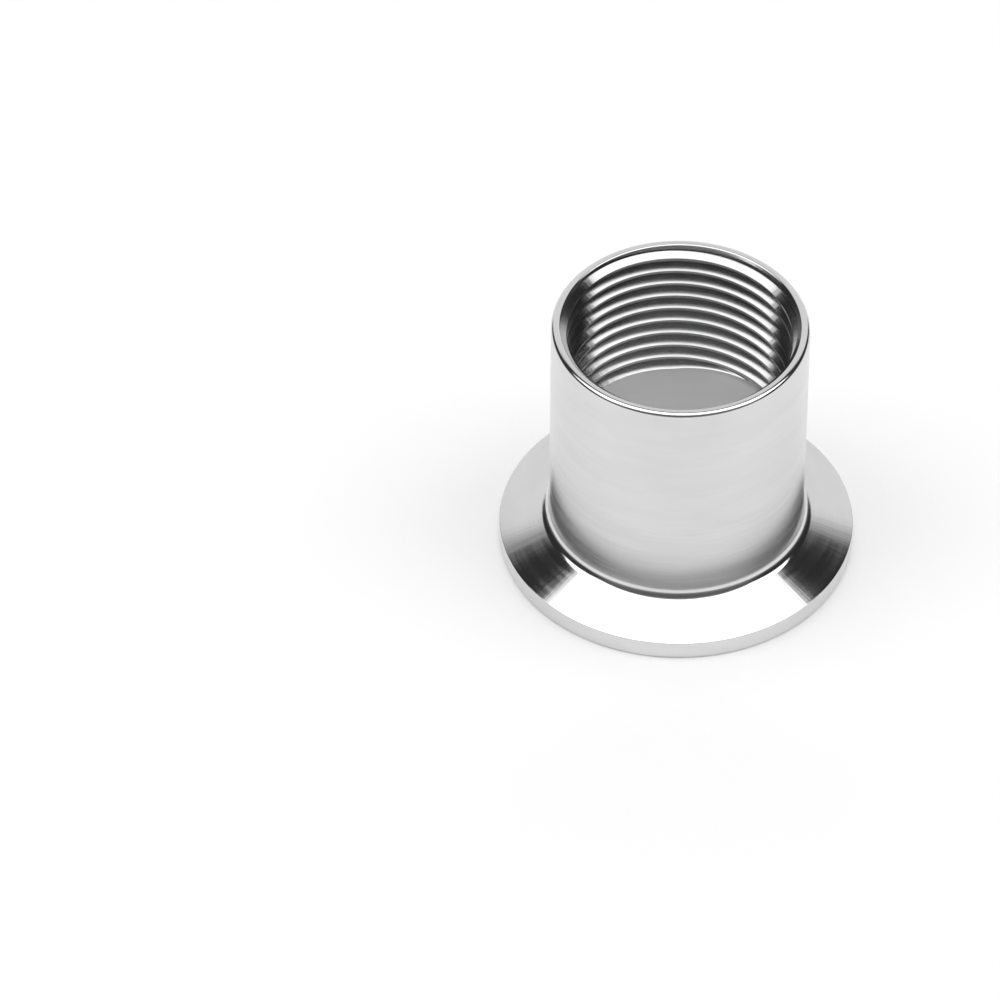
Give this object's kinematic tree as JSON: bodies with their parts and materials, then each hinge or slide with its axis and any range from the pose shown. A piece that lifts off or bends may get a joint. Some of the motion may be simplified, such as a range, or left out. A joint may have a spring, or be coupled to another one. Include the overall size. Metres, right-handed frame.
{
  "type": "sanitary clamp threaded adapter",
  "caption": "Clamp ferrule with a tapered flange and grooved gasket face, joined by a fillet to a straight socket with an internal pipe thread.",
  "frame": {"origin": "centre of the clamp face, which lies in the plane z = 0", "axes": "+Z along the bore, from the clamp face to the mouth of the threaded socket"},
  "size_m": [0.0506, 0.0506, 0.0404],
  "materials": {
    "stainless_steel": "turned and polished stainless steel"
  },
  "bodies": {
    "root": {"adapter_body": "stainless_steel"}
  },
  "joints": []
}
